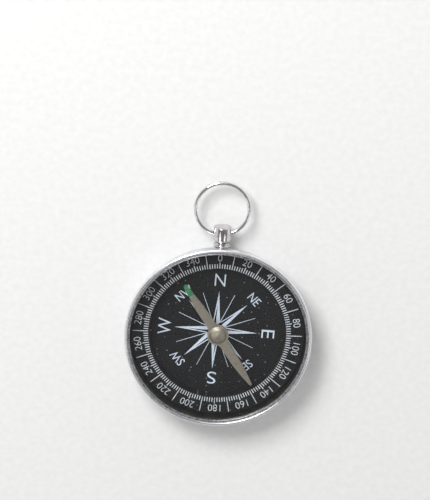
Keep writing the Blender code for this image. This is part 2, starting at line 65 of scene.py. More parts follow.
# Places that the CAD nodes give
CUP_HIGH = extent("case_cup")[1]
BEZEL_LOW, BEZEL_HIGH = extent("bezel_ring")
LENS_HIGH = extent("lens")[1]
CARD_HIGH = extent("dial_card")[1]
RING_HIGH = extent("degree_ring")[1]
WASHER_LOW, WASHER_HIGH = extent("stem_washer")
STEM_LOW, STEM_HIGH = extent("stem")
KNOB_LOW, KNOB_HIGH = extent("crown_knob")
RIVET_LOW = extent("stem_rivet")[0]
JOINT_PLACES = {joint["name"]: Vector(joint["pos_m"]) / MM for joint in frame["joints"]}
STEM_AXIS_Z = JOINT_PLACES["bow_swing"].z
BOW_HINGE_Y = JOINT_PLACES["bow_swing"].y

# Case cup and bezel
SHEET = 0.4
CUP_CORNER = 3.5
FLANGE_WIDTH = 0.55
BEND = 0.2
BEZEL_SHEET = 0.35
BEZEL_TUCK = 0.7
CROWN_WIDTH = 0.62
CROWN_FOOT = 0.76
VALLEY_RISE = 0.24
BEAD_FOOT = 0.3
BEAD_WIDTH = 0.24
BEAD_RISE = 0.31
CRIMP_GAP = 0.05
WINDOW_RADIUS = 21.17
SATIN_START = 21.1
SATIN_END = 21.8
SATIN_FADE = 0.1
RIVET_HOLE_RADIUS = 0.8

# Degree ring: a channel with its open side down
RING_WIDTH = 4.4
RING_WALL = 0.4
RING_FOOT = 2.28
RING_SEAT_GAP = 0.1
NOTCH_WIDTH = 2.8
NOTCH_DEPTH = 3.0

# Stem and knob
WASHER_HOLE_RADIUS = 0.8
STEM_FLANGE = 0.6
STEM_NECK = 0.4
STEM_NECK_RADIUS = 1.65
STEM_BORE_RADIUS = 0.74
STEM_BORE_DEPTH = 1.3
SPIGOT_RADIUS = 0.95
SPIGOT_LENGTH = 0.8
SPIGOT_GAP = 0.04
KNOB_FOOT_RADIUS = 1.7
KNOB_SHOULDER = 0.5
KNOB_CAP = 0.35
BOW_HOLE_RADIUS = 0.889

# Bow
BOW_RADIUS = 6.4
BOW_OFFSET = 6.223
BOW_WIRE_RADIUS = 0.5
BOW_DROOP = radians(1.5)
BOW_LEAN = radians(2.5)
BOW_END_GAP = 0.3

# Needle. An arm is (distance from the hub's centre, half width) pairs, and then its length
NEEDLE_Z = 5.0
NEEDLE_SHEET = 0.35
NEEDLE_HEADING = radians(34.3)
HUB_RADIUS = 2.58
DOME_FOOT = 2.35
DOME_RADIUS = 2.1
DOME_HEIGHT = 0.8
DOME_SHOULDER = 1.62
DOME_SHOULDER_HEIGHT = 0.56
DOME_SLOPE = 0.891
NIPPLE_RADIUS = 0.3
NIPPLE_HEIGHT = 0.08
ARM_HALF_WIDTH = 1.1
ARM_FILLET = 0.4
NORTH_ARM = ((8.0, 1.1), (10.0, 0.9), (12.0, 0.66), (14.3, 0.55), 15.0)
SOUTH_ARM = ((7.6, 1.1), (10.0, 0.94), (12.0, 0.73), (14.6, 0.36), 15.2)
STAMPED_EDGE = 0.07
PAINT_LENGTH = 3.1
PAINT_THICKNESS = 0.03

# Print. Weights thin the typeface's strokes, in parts of its size
INK = 0.02
ROSE_SHIFT = (-0.53, -0.05)
ROSE_TURN = radians(-2.5)
ROSE_REACH = 10.0
LARGE_HEIGHT = 3.08
LARGE_WEIGHT = -0.006
SMALL_HEIGHT = 2.15
SMALL_WIDTH = 0.82
RING_SHIFT = (-0.17, -0.09)
RING_TURN = radians(0.3)
TICK_START = 16.6
TICK_END = 17.7
NUMBER_TICK_END = 18.1
LINE_END = 20.4
TICK_HALF_WIDTH = 0.11
LINE_HALF_WIDTH = 0.1
NUMBER_HEIGHT = 1.7
NUMBER_RADIUS = 19.25
NUMBER_WIDTH = 0.97
NUMBER_WEIGHT = -0.008

# The floor lies a hair under the back, so that the two never share a plane
FLOOR_Z = -0.02

# The photograph: 430 x 500 pixels, and the height of 500 of them on the dial. The case lies below the
# middle of the view, so a camera tilted by 19.9 degrees sees it 20.8 degrees off its normal
FRAME_PIXELS = (430, 500)
FRAME_HEIGHT = 120.3
CAMERA_DISTANCE = 1200.0
SENSOR = 36.0
LOOK_TILT = radians(19.9)
CASE_TURN = radians(2.5)
AXIS_PIXEL = (217.9, 329.55)


def rgb(code):
    """An sRGB hex colour as linear red, green, blue and alpha."""
    values = [int(code[i:i + 2], 16) / 255 for i in (1, 3, 5)]
    return tuple(v / 12.92 if v <= 0.04045 else ((v + 0.055) / 1.055) ** 2.4 for v in values) + (1.0,)


def node(tree, kind, inputs=None, stops=None, **settings):
    """Add a shader node. An input is a value, or the socket that feeds it; stops are a ramp's colours."""
    new = tree.nodes.new("ShaderNode" + kind)
    for key, value in settings.items():
        setattr(new, key, value)
    for key, value in (inputs or {}).items():
        socket = new.inputs[key]
        if isinstance(value, bpy.types.NodeSocket):
            tree.links.new(value, socket)
        else:
            socket.default_value = value
    if stops:
        ramp = new.color_ramp
        while len(ramp.elements) < len(stops):
            ramp.elements.new(1.0)
        for element, (position, colour) in zip(ramp.elements, stops):
            element.position = position
            element.color = colour
    return new


def grey(value):
    """A linear grey, for masks and the sky."""
    return (value, value, value, 1.0)


def new_material(name, **sockets):
    """A material with a Principled shader, whose uniform values are set on its own sockets."""
    material = bpy.data.materials.new(name)
    material.use_nodes = True
    tree = material.node_tree
    shader = tree.nodes["Principled BSDF"]
    for key, value in sockets.items():
        shader.inputs[key.replace("_", " ")].default_value = value
    place = node(tree, "TexCoord").outputs["Object"]
    return material, tree, shader, place


def feed(tree, shader, **sockets):
    """Link pattern outputs to the shader's sockets."""
    for key, value in sockets.items():
        tree.links.new(value, shader.inputs[key.replace("_", " ")])


# ---------------------------------------------------------------- materials
# Grain, fibres, tool lines and pits are finer than the photograph's 0.24 mm a pixel can show, so they
# are drawn at 0.1 to 0.5 mm. Clouds, stains and hazy patches have a real size of about 1 mm and more.


def drawn_aluminium(name, light, dark, roughness, grain):
    """Aluminium drawn in a die: a satin skin with fine lines round the axis and faint clouds."""
    material, tree, shader, place = new_material(
        name, Base_Color=rgb(light), Metallic=1.0, Roughness=roughness
    )
    flat = node(tree, "VectorMath", {0: place, 1: (1, 1, 0)}, operation="MULTIPLY")
    radius = node(tree, "VectorMath", {0: flat.outputs[0]}, operation="LENGTH").outputs["Value"]
    height = node(tree, "SeparateXYZ", {0: place}).outputs["Z"]
    around = node(tree, "VectorMath", {0: flat.outputs[0]}, operation="NORMALIZE").outputs[0]
    slow = node(tree, "VectorMath", {0: around, "Scale": 0.6 * MM}, operation="SCALE").outputs[0]
    across = node(tree, "CombineXYZ", {"X": radius, "Y": height})
    lines_at = node(tree, "VectorMath", {0: across.outputs[0], 1: slow}, operation="ADD").outputs[0]
    lines = node(tree, "TexNoise", {"Vector": lines_at, "Scale": 1 / (0.12 * MM), "Detail": 4.0})
    clouds = node(tree, "TexNoise", {"Vector": place, "Scale": 1 / (3.0 * MM), "Detail": 3.0})
    faint = node(tree, "Math", {0: clouds.outputs["Fac"], 1: 0.35}, operation="MULTIPLY").outputs[0]
    both = node(tree, "Math", {0: lines.outputs["Fac"], 1: faint}, operation="ADD")
    rough = node(
        tree, "MapRange", {0: both.outputs[0], 1: 0.45, 2: 0.9, 3: roughness * 0.8, 4: roughness * 1.25}
    )
    tint = node(
        tree, "ValToRGB", {0: clouds.outputs["Fac"]}, stops=[(0.3, rgb(dark)), (0.7, rgb(light))]
    )
    bump = node(tree, "Bump", {"Height": lines.outputs["Fac"], "Strength": grain, "Distance": 0.01 * MM})
    feed(tree, shader, Roughness=rough.outputs[0], Base_Color=tint.outputs[0], Normal=bump.outputs[0])
    return material


def rolled_aluminium():
    """Bezel strip rolled bright on its crown, with a satin, slightly pitted valley and bead."""
    material, tree, shader, place = new_material(
        "rolled_aluminium_bright_crown", Base_Color=rgb("#dcdde0"), Metallic=1.0, Roughness=0.2
    )
    flat = node(tree, "VectorMath", {0: place, 1: (1, 1, 0)}, operation="MULTIPLY")
    radius = node(tree, "VectorMath", {0: flat.outputs[0]}, operation="LENGTH").outputs["Value"]
    start, end, fade = SATIN_START * MM, SATIN_END * MM, SATIN_FADE * MM
    inner = node(tree, "MapRange", {0: radius, 1: start, 2: start + fade, 3: 0.0, 4: 1.0})
    outer = node(tree, "MapRange", {0: radius, 1: end, 2: end + fade, 3: 1.0, 4: 0.0})
    valley = node(tree, "Math", {0: inner.outputs[0], 1: outer.outputs[0]}, operation="MULTIPLY").outputs[0]
    pits = node(tree, "TexNoise", {"Vector": place, "Scale": 1 / (0.5 * MM), "Detail": 5.0, "Roughness": 0.7})
    clouds = node(tree, "TexNoise", {"Vector": place, "Scale": 1 / (6.0 * MM), "Detail": 2.0})
    satin = node(tree, "MapRange", {0: pits.outputs["Fac"], 1: 0.3, 2: 0.7, 3: 0.32, 4: 0.5})
    bright = node(tree, "MapRange", {0: clouds.outputs["Fac"], 1: 0.3, 2: 0.7, 3: 0.22, 4: 0.34})
    rough = node(tree, "Mix", {0: valley, 2: bright.outputs[0], 3: satin.outputs[0]})
    dull = node(
        tree, "ValToRGB", {0: pits.outputs["Fac"]},
        stops=[(0.36, rgb("#737176")), (0.5, rgb("#a9a8ad")), (0.62, rgb("#cac9cc"))],
    )
    tint = node(
        tree, "Mix", {0: valley, 6: rgb("#eeeef0"), 7: dull.outputs[0]}, data_type="RGBA"
    )
    depth = node(tree, "Math", {0: pits.outputs["Fac"], 1: valley}, operation="MULTIPLY").outputs[0]
    bump = node(tree, "Bump", {"Height": depth, "Strength": 0.5, "Distance": 0.02 * MM})
    feed(tree, shader, Roughness=rough.outputs[0], Base_Color=tint.outputs[2], Normal=bump.outputs[0])
    return material


def bright_nickel(name, light, dark, wear):
    """Bright nickel plate over polished steel: a near-neutral mirror with faint pits and hazy patches."""
    material, tree, shader, place = new_material(
        name, Base_Color=rgb(light), Metallic=1.0, Roughness=0.08
    )
    haze = node(tree, "TexNoise", {"Vector": place, "Scale": 1 / (1.6 * MM), "Detail": 4.0, "Roughness": 0.6})
    rough = node(tree, "MapRange", {0: haze.outputs["Fac"], 1: 0.35, 2: 0.7, 3: 0.05, 4: 0.05 + wear})
    tint = node(
        tree, "ValToRGB", {0: haze.outputs["Fac"]}, stops=[(0.35, rgb(light)), (0.65, rgb(dark))]
    )
    peel = node(tree, "TexNoise", {"Vector": place, "Scale": 1 / (0.5 * MM), "Detail": 2.0})
    bump = node(tree, "Bump", {"Height": peel.outputs["Fac"], "Strength": 0.15, "Distance": 0.01 * MM})
    feed(tree, shader, Roughness=rough.outputs[0], Base_Color=tint.outputs[0], Normal=bump.outputs[0])
    return material


def stamped_steel():
    """Needle blank of rolled spring steel: dull olive grey, grained along the arm and a little stained."""
    material, tree, shader, place = new_material(
        "stamped_spring_steel_dull", Base_Color=rgb("#8f897b"), Metallic=1.0, Roughness=0.38
    )
    along = node(
        tree, "Mapping", {"Vector": place, "Rotation": (0, 0, NEEDLE_HEADING)}, vector_type="TEXTURE"
    )
    stretched = node(tree, "VectorMath", {0: along.outputs[0], 1: (1, 0.04, 1)}, operation="MULTIPLY")
    grain = node(tree, "TexNoise", {"Vector": stretched.outputs[0], "Scale": 1 / (0.1 * MM), "Detail": 3.0})
    stain = node(
        tree, "TexNoise", {"Vector": place, "Scale": 1 / (1.8 * MM), "Detail": 4.0, "Roughness": 0.6}
    )
    tint = node(
        tree, "ValToRGB", {0: stain.outputs["Fac"]},
        stops=[(0.32, rgb("#9c9386")), (0.5, rgb("#a89f92")), (0.68, rgb("#92887b"))],
    )
    rough = node(tree, "MapRange", {0: grain.outputs["Fac"], 1: 0.3, 2: 0.7, 3: 0.4, 4: 0.56})
    bump = node(tree, "Bump", {"Height": grain.outputs["Fac"], "Strength": 0.3, "Distance": 0.01 * MM})
    feed(tree, shader, Roughness=rough.outputs[0], Base_Color=tint.outputs[0], Normal=bump.outputs[0])
    return material


def black_board(name, base, fleck, roughness):
    """Coated black board: a soft dark sheen, faint fibres and a few pale flecks of dust."""
    material, tree, shader, place = new_material(name, Roughness=roughness, Specular_IOR_Level=0.15)
    fibre = node(tree, "TexNoise", {"Vector": place, "Scale": 1 / (0.4 * MM), "Detail": 4.0})
    ground = node(
        tree, "ValToRGB", {0: fibre.outputs["Fac"]}, stops=[(0.3, rgb(base[0])), (0.7, rgb(base[1]))]
    )
    cells = node(tree, "TexVoronoi", {"Vector": place, "Scale": 1 / (2.0 * MM)}, voronoi_dimensions="2D")
    chance = node(tree, "SeparateColor", {0: cells.outputs["Color"]}).outputs[0]
    size = node(tree, "MapRange", {0: chance, 1: 0.3, 2: 1.0, 3: 0.0, 4: 0.1}).outputs[0]
    speck = node(tree, "Math", {0: cells.outputs["Distance"], 1: size}, operation="LESS_THAN").outputs[0]
    some = node(tree, "Math", {0: speck, 1: 0.5}, operation="MULTIPLY").outputs[0]
    tint = node(tree, "Mix", {0: some, 6: ground.outputs[0], 7: rgb(fleck)}, data_type="RGBA")
    rough = node(
        tree, "MapRange", {0: fibre.outputs["Fac"], 1: 0.3, 2: 0.7, 3: roughness * 0.85, 4: roughness * 1.15}
    )
    bump = node(tree, "Bump", {"Height": fibre.outputs["Fac"], "Strength": 0.1, "Distance": 0.01 * MM})
    feed(tree, shader, Base_Color=tint.outputs[2], Roughness=rough.outputs[0], Normal=bump.outputs[0])
    return material


def screen_ink(name, light, dark):
    """White screen ink on black: not quite opaque, so it is mottled, with a matt surface."""
    material, tree, shader, place = new_material(name, Roughness=0.55)
    cover = node(tree, "TexNoise", {"Vector": place, "Scale": 1 / (0.3 * MM), "Detail": 3.0})
    tint = node(
        tree, "ValToRGB", {0: cover.outputs["Fac"]}, stops=[(0.3, rgb(dark)), (0.6, rgb(light))]
    )
    bump = node(tree, "Bump", {"Height": cover.outputs["Fac"], "Strength": 0.2, "Distance": 0.01 * MM})
    feed(tree, shader, Base_Color=tint.outputs[0], Normal=bump.outputs[0])
    return material


def green_enamel():
    """Dipped enamel on the north tip: a glossy leaf green, thinner and paler in patches."""
    material, tree, shader, place = new_material(
        "dipped_green_enamel", Roughness=0.32, Coat_Weight=0.4, Coat_Roughness=0.12
    )
    pool = node(tree, "TexNoise", {"Vector": place, "Scale": 1 / (0.9 * MM), "Detail": 3.0})
    tint = node(
        tree, "ValToRGB", {0: pool.outputs["Fac"]},
        stops=[(0.35, rgb("#1f5a35")), (0.6, rgb("#2f7048")), (0.72, rgb("#6f9c80"))],
    )
    bump = node(tree, "Bump", {"Height": pool.outputs["Fac"], "Strength": 0.3, "Distance": 0.03 * MM})
    feed(tree, shader, Base_Color=tint.outputs[0], Normal=bump.outputs[0])
    return material


def turned_metal(name, light, dark, roughness):
    """A small turned part: tool lines at a tenth of a millimetre across its axis."""
    material, tree, shader, place = new_material(name, Metallic=1.0, Roughness=roughness)
    lines = node(tree, "TexNoise", {"Vector": place, "Scale": 1 / (0.1 * MM), "Detail": 3.0})
    tint = node(
        tree, "ValToRGB", {0: lines.outputs["Fac"]}, stops=[(0.35, rgb(dark)), (0.65, rgb(light))]
    )
    rough = node(
        tree, "MapRange", {0: lines.outputs["Fac"], 1: 0.3, 2: 0.7, 3: roughness * 0.8, 4: roughness * 1.3}
    )
    feed(tree, shader, Base_Color=tint.outputs[0], Roughness=rough.outputs[0])
    return material


def cast_acrylic():
    """Clear acrylic pane, polished: sharp reflections broken by hairline scuffs and hazy rubs."""
    material, tree, shader, place = new_material(
        "clear_cast_acrylic", Base_Color=rgb("#fbfdfd"), Roughness=0.0, IOR=1.49, Transmission_Weight=1.0
    )
    rub = node(tree, "TexNoise", {"Vector": place, "Scale": 1 / (9.0 * MM), "Detail": 3.0})
    hair = node(
        tree, "TexNoise", {"Vector": place, "Scale": 1 / (1.1 * MM), "Detail": 6.0, "Distortion": 2.5}
    )
    ridge = node(
        tree, "ValToRGB", {0: hair.outputs["Fac"]},
        stops=[(0.492, grey(0.0)), (0.5, grey(1.0)), (0.508, grey(0.0))],
    )
    where = node(tree, "MapRange", {0: rub.outputs["Fac"], 1: 0.52, 2: 0.68, 3: 0.0, 4: 1.0})
    scuff = node(tree, "Math", {0: ridge.outputs[0], 1: where.outputs[0]}, operation="MULTIPLY")
    rough = node(tree, "MapRange", {0: scuff.outputs[0], 1: 0.0, 2: 1.0, 3: 0.005, 4: 0.12})
    feed(tree, shader, Roughness=rough.outputs[0])
    shadow = node(tree, "LightPath").outputs["Is Shadow Ray"]
    clear = node(tree, "BsdfTransparent", {"Color": rgb("#f4f7f7")})
    mix = node(tree, "MixShader", {0: shadow, 1: shader.outputs[0], 2: clear.outputs[0]})
    tree.links.new(mix.outputs[0], tree.nodes["Material Output"].inputs["Surface"])
    return material


# ---------------------------------------------------------------- shapes


def add_object(name, data):
    """An object in the scene, at the origin."""
    obj = bpy.data.objects.new(name, data)
    bpy.context.scene.collection.objects.link(obj)
    return obj


def wire(bm, corners, closed):
    """A wire in the XZ plane through (radius, height, rounding) corners in mm."""
    verts = [bm.verts.new((r * MM, 0, z * MM)) for r, z, *_ in corners]
    for pair in zip(verts, verts[1:]):
        bm.edges.new(pair)
    if closed:
        bm.edges.new((verts[-1], verts[0]))
    for vert, (_, _, *rounding) in zip(verts, corners):
        if rounding:
            bmesh.ops.bevel(
                bm, geom=[vert], offset=rounding[0] * MM, offset_type="OFFSET", affect="VERTICES",
                segments=3 + int(4 * rounding[0]), profile=0.5, material=-1,
            )


def lathe(corners, steps, closed=False):
    """The corners' wire spun about Z. An open wire begins and ends on the axis."""
    bm = bmesh.new()
    wire(bm, corners, closed)
    bmesh.ops.spin(
        bm, geom=bm.verts[:] + bm.edges[:], cent=(0, 0, 0), axis=(0, 0, 1), angle=2 * pi,
        steps=steps, use_merge=True,
    )
    bmesh.ops.remove_doubles(bm, verts=bm.verts, dist=WELD)
    bmesh.ops.recalc_face_normals(bm, faces=bm.faces)
    return bm


def stem_turn():
    """Turns Z to the stem's axis."""
    return Matrix.Translation((0, 0, STEM_AXIS_Z * MM)) @ Matrix.Rotation(-pi / 2, 4, "X")


def along_stem(bm):
    """Lay a part that was turned about Z along the stem's axis."""
    bmesh.ops.transform(bm, verts=bm.verts, matrix=stem_turn())
    return bm


def rod(radius, start, end, turn, steps=48):
    """A cylinder in mm from start to end on the axis that turn makes of Z."""
    bm = bmesh.new()
    place = turn @ Matrix.Translation((0, 0, (start + end) / 2 * MM))
    bmesh.ops.create_cone(
        bm, cap_ends=True, segments=steps, radius1=radius * MM, radius2=radius * MM,
        depth=(end - start) * MM, matrix=place,
    )
    return bm


def cut(bm, cutter):
    """The first shape with the second cut out of it."""
    pair = []
    for shape in (bm, cutter):
        mesh = bpy.data.meshes.new("cut")
        shape.to_mesh(mesh)
        shape.free()
        pair.append(add_object("cut", mesh))
    modifier = pair[0].modifiers.new("cut", "BOOLEAN")
    modifier.operation = "DIFFERENCE"
    modifier.solver = "EXACT"
    modifier.object = pair[1]
    solid = pair[0].evaluated_get(bpy.context.evaluated_depsgraph_get())
    result = bmesh.new()
    result.from_mesh(solid.to_mesh())
    for obj in pair:
        bpy.data.objects.remove(obj)
    return result


def piece(name, bm, materials, body, replaced=None):
    """Make a finished shape a piece that rides on a body, and may stand for a CAD node."""
    mesh = bpy.data.meshes.new(name)
    bm.to_mesh(mesh)
    bm.free()
    mesh.shade_smooth()
    mesh.set_sharp_from_angle(angle=SHARP_EDGE)
    for material in materials:
        mesh.materials.append(material)
    obj = add_object(name, mesh)
    modifier = obj.modifiers.new("weighted", "WEIGHTED_NORMAL")
    modifier.keep_sharp = True
    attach(obj, body)
    if replaced:
        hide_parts(replaced)


def make_cup(outside, inside):
    """Drawn cup: satin outside and on the back, and darker on the inner wall, where the dark colour is
    painted shade.
    """
    radius = CUP_HIGH.x - FLANGE_WIDTH
    top = CUP_HIGH.z
    bm = lathe(
        [
            (0, 0),
            (radius, 0, CUP_CORNER),
            (radius, top - SHEET, BEND),
            (CUP_HIGH.x, top - SHEET),
            (CUP_HIGH.x, top),
            (radius - SHEET, top, BEND),
            (radius - SHEET, SHEET, CUP_CORNER - SHEET),
            (0, SHEET),
        ],
        192,
    )
    bm = cut(bm, rod(RIVET_HOLE_RADIUS, radius - CUP_CORNER, radius + 1, stem_turn()))
    for face in bm.faces:
        centre = face.calc_center_median() / MM
        within = centre.z > SHEET - 0.01 and centre.xy.length < radius - SHEET / 2
        if within and face.normal.xy.dot(centre.xy) < 0.5:
            face.material_index = 1
    piece("cup", bm, [outside, inside], "case", "case_cup")


def make_bezel(material):
    """Rolled bezel: a round crown outside, a flat valley and a thin bead at the window."""
    edge = BEZEL_HIGH.x
    low = BEZEL_LOW.z
    lip = LENS_HIGH.z + CRIMP_GAP
    crest = BEZEL_HIGH.z
    bm = lathe(
        [
            (edge - BEZEL_TUCK, low + BEZEL_SHEET),
            (edge - BEZEL_TUCK, low, 0.1),
            (edge, low, 0.55),
            (edge, crest, 0.36),
            (edge - CROWN_WIDTH, crest, 0.16),
            (edge - CROWN_FOOT, lip + VALLEY_RISE, 0.08),
            (WINDOW_RADIUS + BEAD_FOOT, lip + VALLEY_RISE, 0.05),
            (WINDOW_RADIUS + BEAD_WIDTH, lip + BEAD_RISE, 0.05),
            (WINDOW_RADIUS, lip + BEAD_RISE, 0.12),
            (WINDOW_RADIUS, lip),
            (edge - BEZEL_SHEET, lip),
            (edge - BEZEL_SHEET, low + BEZEL_SHEET),
        ],
        256, closed=True,
    )
    piece("bezel", bm, [material], "case", "bezel_ring")


def make_scale_ring(material):
    """Pressed channel that lifts the degree scale above the card, notched for the rivet's head."""
    outer = RING_HIGH.x
    bore = outer - RING_WIDTH
    top = RING_HIGH.z
    seat = CARD_HIGH.z + RING_SEAT_GAP
    bm = lathe(
        [
            (bore, seat),
            (bore + RING_WALL, seat),
            (bore + RING_WALL, top - RING_WALL, 0.15),
            (outer - RING_WALL, top - RING_WALL, 0.15),
            (outer - RING_WALL, RING_FOOT),
            (outer, RING_FOOT),
            (outer, top, 0.12),
            (bore, top, 0.12),
        ],
        192, closed=True,
    )
    notch = bmesh.new()
    face = RIVET_LOW.y - CRIMP_GAP
    size = (NOTCH_WIDTH, NOTCH_DEPTH, 2 * top)
    place = Matrix.Translation((0, (face + NOTCH_DEPTH / 2) * MM, top * MM))
    bmesh.ops.create_cube(notch, size=MM, matrix=place @ Matrix.Diagonal((*size, 1)))
    piece("scale_ring", cut(bm, notch), [material], "case", "degree_ring")


def make_stem_parts(material):
    """Washer, stem and knob, turned about one axis. The knob has the bow's cross hole."""
    low, high = WASHER_LOW.y, WASHER_HIGH.y
    radius = WASHER_HIGH.x
    hole = WASHER_HOLE_RADIUS
    bm = lathe([(hole, low), (radius, low, 0.1), (radius, high, 0.18), (hole, high)], 96, closed=True)
    piece("stem_washer_turned", along_stem(bm), [material], "case", "stem_washer")

    low, radius = STEM_LOW.y, STEM_HIGH.x
    shoulder = low + STEM_FLANGE
    neck = shoulder + STEM_NECK
    bm = lathe(
        [
            (0, low + STEM_BORE_DEPTH),
            (STEM_BORE_RADIUS, low + STEM_BORE_DEPTH),
            (STEM_BORE_RADIUS, low),
            (radius, low, 0.18),
            (radius, shoulder, 0.18),
            (STEM_NECK_RADIUS, shoulder, 0.12),
            (STEM_NECK_RADIUS, neck),
            (SPIGOT_RADIUS, neck),
            (SPIGOT_RADIUS, STEM_HIGH.y),
            (0, STEM_HIGH.y),
        ],
        96,
    )
    piece("stem_turned", along_stem(bm), [material], "case", "stem")

    low, high, radius = KNOB_LOW.y, KNOB_HIGH.y, KNOB_HIGH.x
    bore = SPIGOT_RADIUS + SPIGOT_GAP
    bm = lathe(
        [
            (0, low + SPIGOT_LENGTH),
            (bore, low + SPIGOT_LENGTH),
            (bore, low),
            (KNOB_FOOT_RADIUS, low, 0.08),
            (radius, low + 0.8 * KNOB_SHOULDER, 0.25),
            (radius, high - 0.75 * KNOB_CAP, 0.16),
            (0.55 * radius, high - 0.06, 0.8),
            (0, high),
        ],
        96,
    )
    turn = Matrix.Translation((0, BOW_HINGE_Y * MM, STEM_AXIS_Z * MM)) @ Matrix.Rotation(pi / 2, 4, "Y")
    bm = cut(along_stem(bm), rod(BOW_HOLE_RADIUS, -3 * radius, 3 * radius, turn))
    piece("knob", bm, [material], "case", "crown_knob")


def make_bow(material):
    """Round wire bent to a circle, whose ends meet inside the knob."""
    half_gap = BOW_END_GAP / 2 / BOW_RADIUS
    bm = bmesh.new()
    start = Matrix.Translation((0, BOW_OFFSET * MM, 0)) @ Matrix.Rotation(half_gap - pi / 2, 4, "Z")
    place = start @ Matrix.Translation((BOW_RADIUS * MM, 0, 0)) @ Matrix.Rotation(pi / 2, 4, "X")
    bmesh.ops.create_circle(bm, segments=24, radius=BOW_WIRE_RADIUS * MM, matrix=place)
    bmesh.ops.spin(
        bm, geom=bm.verts[:] + bm.edges[:], cent=(0, BOW_OFFSET * MM, 0), axis=(0, 0, 1),
        angle=2 * (pi - half_gap), steps=168,
    )
    bmesh.ops.holes_fill(bm, edges=[e for e in bm.edges if e.is_boundary], sides=24)
    turn = Matrix.Rotation(-BOW_DROOP, 4, "X") @ Matrix.Rotation(BOW_LEAN, 4, "Z")
    bmesh.ops.transform(bm, verts=bm.verts, matrix=Matrix.Translation(JOINT_PLACES["bow_swing"] * MM) @ turn)
    bmesh.ops.recalc_face_normals(bm, faces=bm.faces)
    piece("bow", bm, [material], "bow", "bow_ring")


def arm_side(arm):
    """An arm's right side as (half width, distance) points from the hub to the tip's round end."""
    *stations, length = arm
    tip_at, tip = stations[-1]
    root = (ARM_HALF_WIDTH, HUB_RADIUS + ARM_FILLET)
    points = [root]
    spots = [root] + [(w, d) for d, w in stations]
    for i in range(1, len(spots) - 1):
        (w0, d0), (w1, d1) = spots[i], spots[i + 1]
        slope0 = 0 if i == 1 else (w1 - spots[i - 1][0]) / (d1 - spots[i - 1][1])
        after = spots[min(i + 2, len(spots) - 1)]
        slope1 = (after[0] - w0) / (after[1] - d0)
        third = (d1 - d0) / 3
        span = interpolate_bezier(
            (w0, d0, 0), (w0 + slope0 * third, d0 + third, 0),
            (w1 - slope1 * third, d1 - third, 0), (w1, d1, 0), 8,
        )
        points += [(p.x, p.y) for p in span[:-1]]
    rise = length - tip_at
    for i in range(9):
        angle = pi / 2 * i / 8
        points.append((tip * cos(angle), tip_at + rise * sin(angle)))
    return points[:-1] + [(0, length)]


def needle_face(dome, z):
    """One face of the needle, with north along +Y: a dome in the middle of a flat hub and blade."""
    bm = lathe(dome, 64)
    rim = [e for e in bm.edges if e.is_boundary]
    neck = ARM_HALF_WIDTH + ARM_FILLET * 0.6
    start = atan(sqrt(HUB_RADIUS ** 2 - neck ** 2) / neck)
    side = []
    for i in range(25):
        angle = -start + 2 * start * i / 24
        side.append((HUB_RADIUS * cos(angle), HUB_RADIUS * sin(angle)))
    points = [(w, -d) for w, d in reversed(arm_side(SOUTH_ARM))]
    points += side + arm_side(NORTH_ARM)
    verts = [bm.verts.new((x * MM, y * MM, 0)) for x, y in points]
    edges = [bm.edges.new(pair) for pair in zip(verts, verts[1:])]
    bmesh.ops.mirror(bm, geom=verts + edges, axis="X", merge_dist=WELD)
    outline = [e for e in bm.edges if e.is_wire]
    bmesh.ops.triangle_fill(bm, use_beauty=True, edges=outline + rim)
    bmesh.ops.remove_doubles(bm, verts=bm.verts, dist=WELD)
    bmesh.ops.translate(bm, verts=bm.verts, vec=(0, 0, z * MM))
    return bm


def add_shape(bm, other):
    """Put another shape's faces into the first."""
    mesh = bpy.data.meshes.new("added")
    other.to_mesh(mesh)
    other.free()
    bm.from_mesh(mesh)
    bpy.data.meshes.remove(mesh)


def soften_rims(bm):
    """Small roundings on the sharp rims that the die leaves."""
    rims = [e for e in bm.edges if len(e.link_faces) == 2 and e.calc_face_angle() > radians(60)]
    bmesh.ops.bevel(
        bm, geom=rims, offset=STAMPED_EDGE * MM, segments=3, profile=0.5, affect="EDGES", material=-1,
        clamp_overlap=True,
    )


